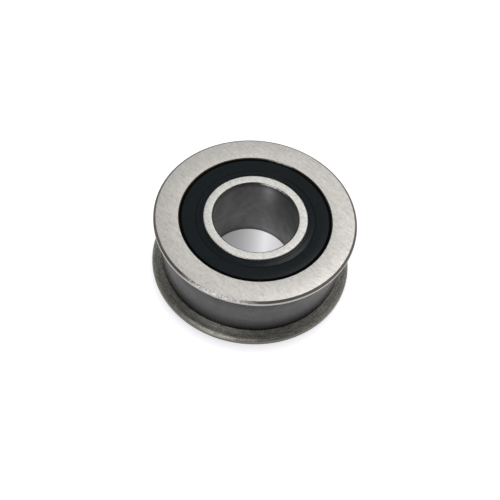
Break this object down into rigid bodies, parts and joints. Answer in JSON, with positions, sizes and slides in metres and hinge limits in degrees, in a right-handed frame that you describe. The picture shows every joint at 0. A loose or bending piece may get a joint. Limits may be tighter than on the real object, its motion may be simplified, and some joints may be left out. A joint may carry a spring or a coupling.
{
  "type": "chain roller",
  "caption": "Flanged steel chain roller: a grooved outer ring turns on a sealed double-row ball bearing with a plain bore for a fixed pin.",
  "frame": {"origin": "the roller's centre, on the axle line and midway between the end faces", "axes": "+Z along the axle, out of the upper end face; +X and +Y across it, with a ball of the upper row on +X"},
  "size_m": [0.072, 0.072, 0.028],
  "materials": {
    "ring_steel": "turned and heat-treated, with ground end faces",
    "ball_steel": "lapped mirror-bright",
    "seal_rubber": "moulded, satin",
    "cage_plastic": "moulded natural polyamide"
  },
  "bodies": {
    "inner_body": {"inner_ring": "ring_steel"},
    "outer_body": {"outer_ring": "ring_steel", "upper_seal": "seal_rubber", "lower_seal": "seal_rubber"},
    "upper_cage_body": {"upper_cage": "cage_plastic"},
    "lower_cage_body": {"lower_cage": "cage_plastic"},
    "upper_ball_1_body": {"upper_ball_1": "ball_steel"},
    "upper_ball_2_body": {"upper_ball_2": "ball_steel"},
    "upper_ball_3_body": {"upper_ball_3": "ball_steel"},
    "upper_ball_4_body": {"upper_ball_4": "ball_steel"},
    "upper_ball_5_body": {"upper_ball_5": "ball_steel"},
    "upper_ball_6_body": {"upper_ball_6": "ball_steel"},
    "upper_ball_7_body": {"upper_ball_7": "ball_steel"},
    "upper_ball_8_body": {"upper_ball_8": "ball_steel"},
    "upper_ball_9_body": {"upper_ball_9": "ball_steel"},
    "upper_ball_10_body": {"upper_ball_10": "ball_steel"},
    "lower_ball_1_body": {"lower_ball_1": "ball_steel"},
    "lower_ball_2_body": {"lower_ball_2": "ball_steel"},
    "lower_ball_3_body": {"lower_ball_3": "ball_steel"},
    "lower_ball_4_body": {"lower_ball_4": "ball_steel"},
    "lower_ball_5_body": {"lower_ball_5": "ball_steel"},
    "lower_ball_6_body": {"lower_ball_6": "ball_steel"},
    "lower_ball_7_body": {"lower_ball_7": "ball_steel"},
    "lower_ball_8_body": {"lower_ball_8": "ball_steel"},
    "lower_ball_9_body": {"lower_ball_9": "ball_steel"},
    "lower_ball_10_body": {"lower_ball_10": "ball_steel"}
  },
  "joints": [
    {"name": "outer_spin", "type": "hinge", "parent": "inner_body", "child": "outer_body", "pos_m": [0, 0, 0], "axis": [0, 0, 1], "continuous": true},
    {"name": "upper_cage_spin", "type": "hinge", "parent": "inner_body", "child": "upper_cage_body", "pos_m": [0, 0, 0], "axis": [0, 0, 1], "continuous": true},
    {"name": "lower_cage_spin", "type": "hinge", "parent": "inner_body", "child": "lower_cage_body", "pos_m": [0, 0, 0], "axis": [0, 0, 1], "continuous": true},
    {"name": "upper_ball_1_spin", "type": "hinge", "parent": "upper_cage_body", "child": "upper_ball_1_body", "pos_m": [0.02301, 0, 0.00574], "axis": [0, 0, 1], "continuous": true},
    {"name": "upper_ball_2_spin", "type": "hinge", "parent": "upper_cage_body", "child": "upper_ball_2_body", "pos_m": [0.01862, 0.01353, 0.00574], "axis": [0, 0, 1], "continuous": true},
    {"name": "upper_ball_3_spin", "type": "hinge", "parent": "upper_cage_body", "child": "upper_ball_3_body", "pos_m": [0.00711, 0.02189, 0.00574], "axis": [0, 0, 1], "continuous": true},
    {"name": "upper_ball_4_spin", "type": "hinge", "parent": "upper_cage_body", "child": "upper_ball_4_body", "pos_m": [-0.00711, 0.02189, 0.00574], "axis": [0, 0, 1], "continuous": true},
    {"name": "upper_ball_5_spin", "type": "hinge", "parent": "upper_cage_body", "child": "upper_ball_5_body", "pos_m": [-0.01862, 0.01353, 0.00574], "axis": [0, 0, 1], "continuous": true},
    {"name": "upper_ball_6_spin", "type": "hinge", "parent": "upper_cage_body", "child": "upper_ball_6_body", "pos_m": [-0.02301, 0, 0.00574], "axis": [0, 0, 1], "continuous": true},
    {"name": "upper_ball_7_spin", "type": "hinge", "parent": "upper_cage_body", "child": "upper_ball_7_body", "pos_m": [-0.01862, -0.01353, 0.00574], "axis": [0, 0, 1], "continuous": true},
    {"name": "upper_ball_8_spin", "type": "hinge", "parent": "upper_cage_body", "child": "upper_ball_8_body", "pos_m": [-0.00711, -0.02189, 0.00574], "axis": [0, 0, 1], "continuous": true},
    {"name": "upper_ball_9_spin", "type": "hinge", "parent": "upper_cage_body", "child": "upper_ball_9_body", "pos_m": [0.00711, -0.02189, 0.00574], "axis": [0, 0, 1], "continuous": true},
    {"name": "upper_ball_10_spin", "type": "hinge", "parent": "upper_cage_body", "child": "upper_ball_10_body", "pos_m": [0.01862, -0.01353, 0.00574], "axis": [0, 0, 1], "continuous": true},
    {"name": "lower_ball_1_spin", "type": "hinge", "parent": "lower_cage_body", "child": "lower_ball_1_body", "pos_m": [0.02189, 0.00711, -0.00574], "axis": [0, 0, 1], "continuous": true},
    {"name": "lower_ball_2_spin", "type": "hinge", "parent": "lower_cage_body", "child": "lower_ball_2_body", "pos_m": [0.01353, 0.01862, -0.00574], "axis": [0, 0, 1], "continuous": true},
    {"name": "lower_ball_3_spin", "type": "hinge", "parent": "lower_cage_body", "child": "lower_ball_3_body", "pos_m": [0, 0.02301, -0.00574], "axis": [0, 0, 1], "continuous": true},
    {"name": "lower_ball_4_spin", "type": "hinge", "parent": "lower_cage_body", "child": "lower_ball_4_body", "pos_m": [-0.01353, 0.01862, -0.00574], "axis": [0, 0, 1], "continuous": true},
    {"name": "lower_ball_5_spin", "type": "hinge", "parent": "lower_cage_body", "child": "lower_ball_5_body", "pos_m": [-0.02189, 0.00711, -0.00574], "axis": [0, 0, 1], "continuous": true},
    {"name": "lower_ball_6_spin", "type": "hinge", "parent": "lower_cage_body", "child": "lower_ball_6_body", "pos_m": [-0.02189, -0.00711, -0.00574], "axis": [0, 0, 1], "continuous": true},
    {"name": "lower_ball_7_spin", "type": "hinge", "parent": "lower_cage_body", "child": "lower_ball_7_body", "pos_m": [-0.01353, -0.01862, -0.00574], "axis": [0, 0, 1], "continuous": true},
    {"name": "lower_ball_8_spin", "type": "hinge", "parent": "lower_cage_body", "child": "lower_ball_8_body", "pos_m": [0, -0.02301, -0.00574], "axis": [0, 0, 1], "continuous": true},
    {"name": "lower_ball_9_spin", "type": "hinge", "parent": "lower_cage_body", "child": "lower_ball_9_body", "pos_m": [0.01353, -0.01862, -0.00574], "axis": [0, 0, 1], "continuous": true},
    {"name": "lower_ball_10_spin", "type": "hinge", "parent": "lower_cage_body", "child": "lower_ball_10_body", "pos_m": [0.02189, -0.00711, -0.00574], "axis": [0, 0, 1], "continuous": true}
  ],
  "couplings": [
    {"joint": "upper_cage_spin", "follows": "outer_spin", "ratio": 0.60348},
    {"joint": "lower_cage_spin", "follows": "outer_spin", "ratio": 0.60348},
    {"joint": "upper_ball_1_spin", "follows": "outer_spin", "ratio": 2.3125},
    {"joint": "upper_ball_2_spin", "follows": "outer_spin", "ratio": 2.3125},
    {"joint": "upper_ball_3_spin", "follows": "outer_spin", "ratio": 2.3125},
    {"joint": "upper_ball_4_spin", "follows": "outer_spin", "ratio": 2.3125},
    {"joint": "upper_ball_5_spin", "follows": "outer_spin", "ratio": 2.3125},
    {"joint": "upper_ball_6_spin", "follows": "outer_spin", "ratio": 2.3125},
    {"joint": "upper_ball_7_spin", "follows": "outer_spin", "ratio": 2.3125},
    {"joint": "upper_ball_8_spin", "follows": "outer_spin", "ratio": 2.3125},
    {"joint": "upper_ball_9_spin", "follows": "outer_spin", "ratio": 2.3125},
    {"joint": "upper_ball_10_spin", "follows": "outer_spin", "ratio": 2.3125},
    {"joint": "lower_ball_1_spin", "follows": "outer_spin", "ratio": 2.3125},
    {"joint": "lower_ball_2_spin", "follows": "outer_spin", "ratio": 2.3125},
    {"joint": "lower_ball_3_spin", "follows": "outer_spin", "ratio": 2.3125},
    {"joint": "lower_ball_4_spin", "follows": "outer_spin", "ratio": 2.3125},
    {"joint": "lower_ball_5_spin", "follows": "outer_spin", "ratio": 2.3125},
    {"joint": "lower_ball_6_spin", "follows": "outer_spin", "ratio": 2.3125},
    {"joint": "lower_ball_7_spin", "follows": "outer_spin", "ratio": 2.3125},
    {"joint": "lower_ball_8_spin", "follows": "outer_spin", "ratio": 2.3125},
    {"joint": "lower_ball_9_spin", "follows": "outer_spin", "ratio": 2.3125},
    {"joint": "lower_ball_10_spin", "follows": "outer_spin", "ratio": 2.3125}
  ]
}
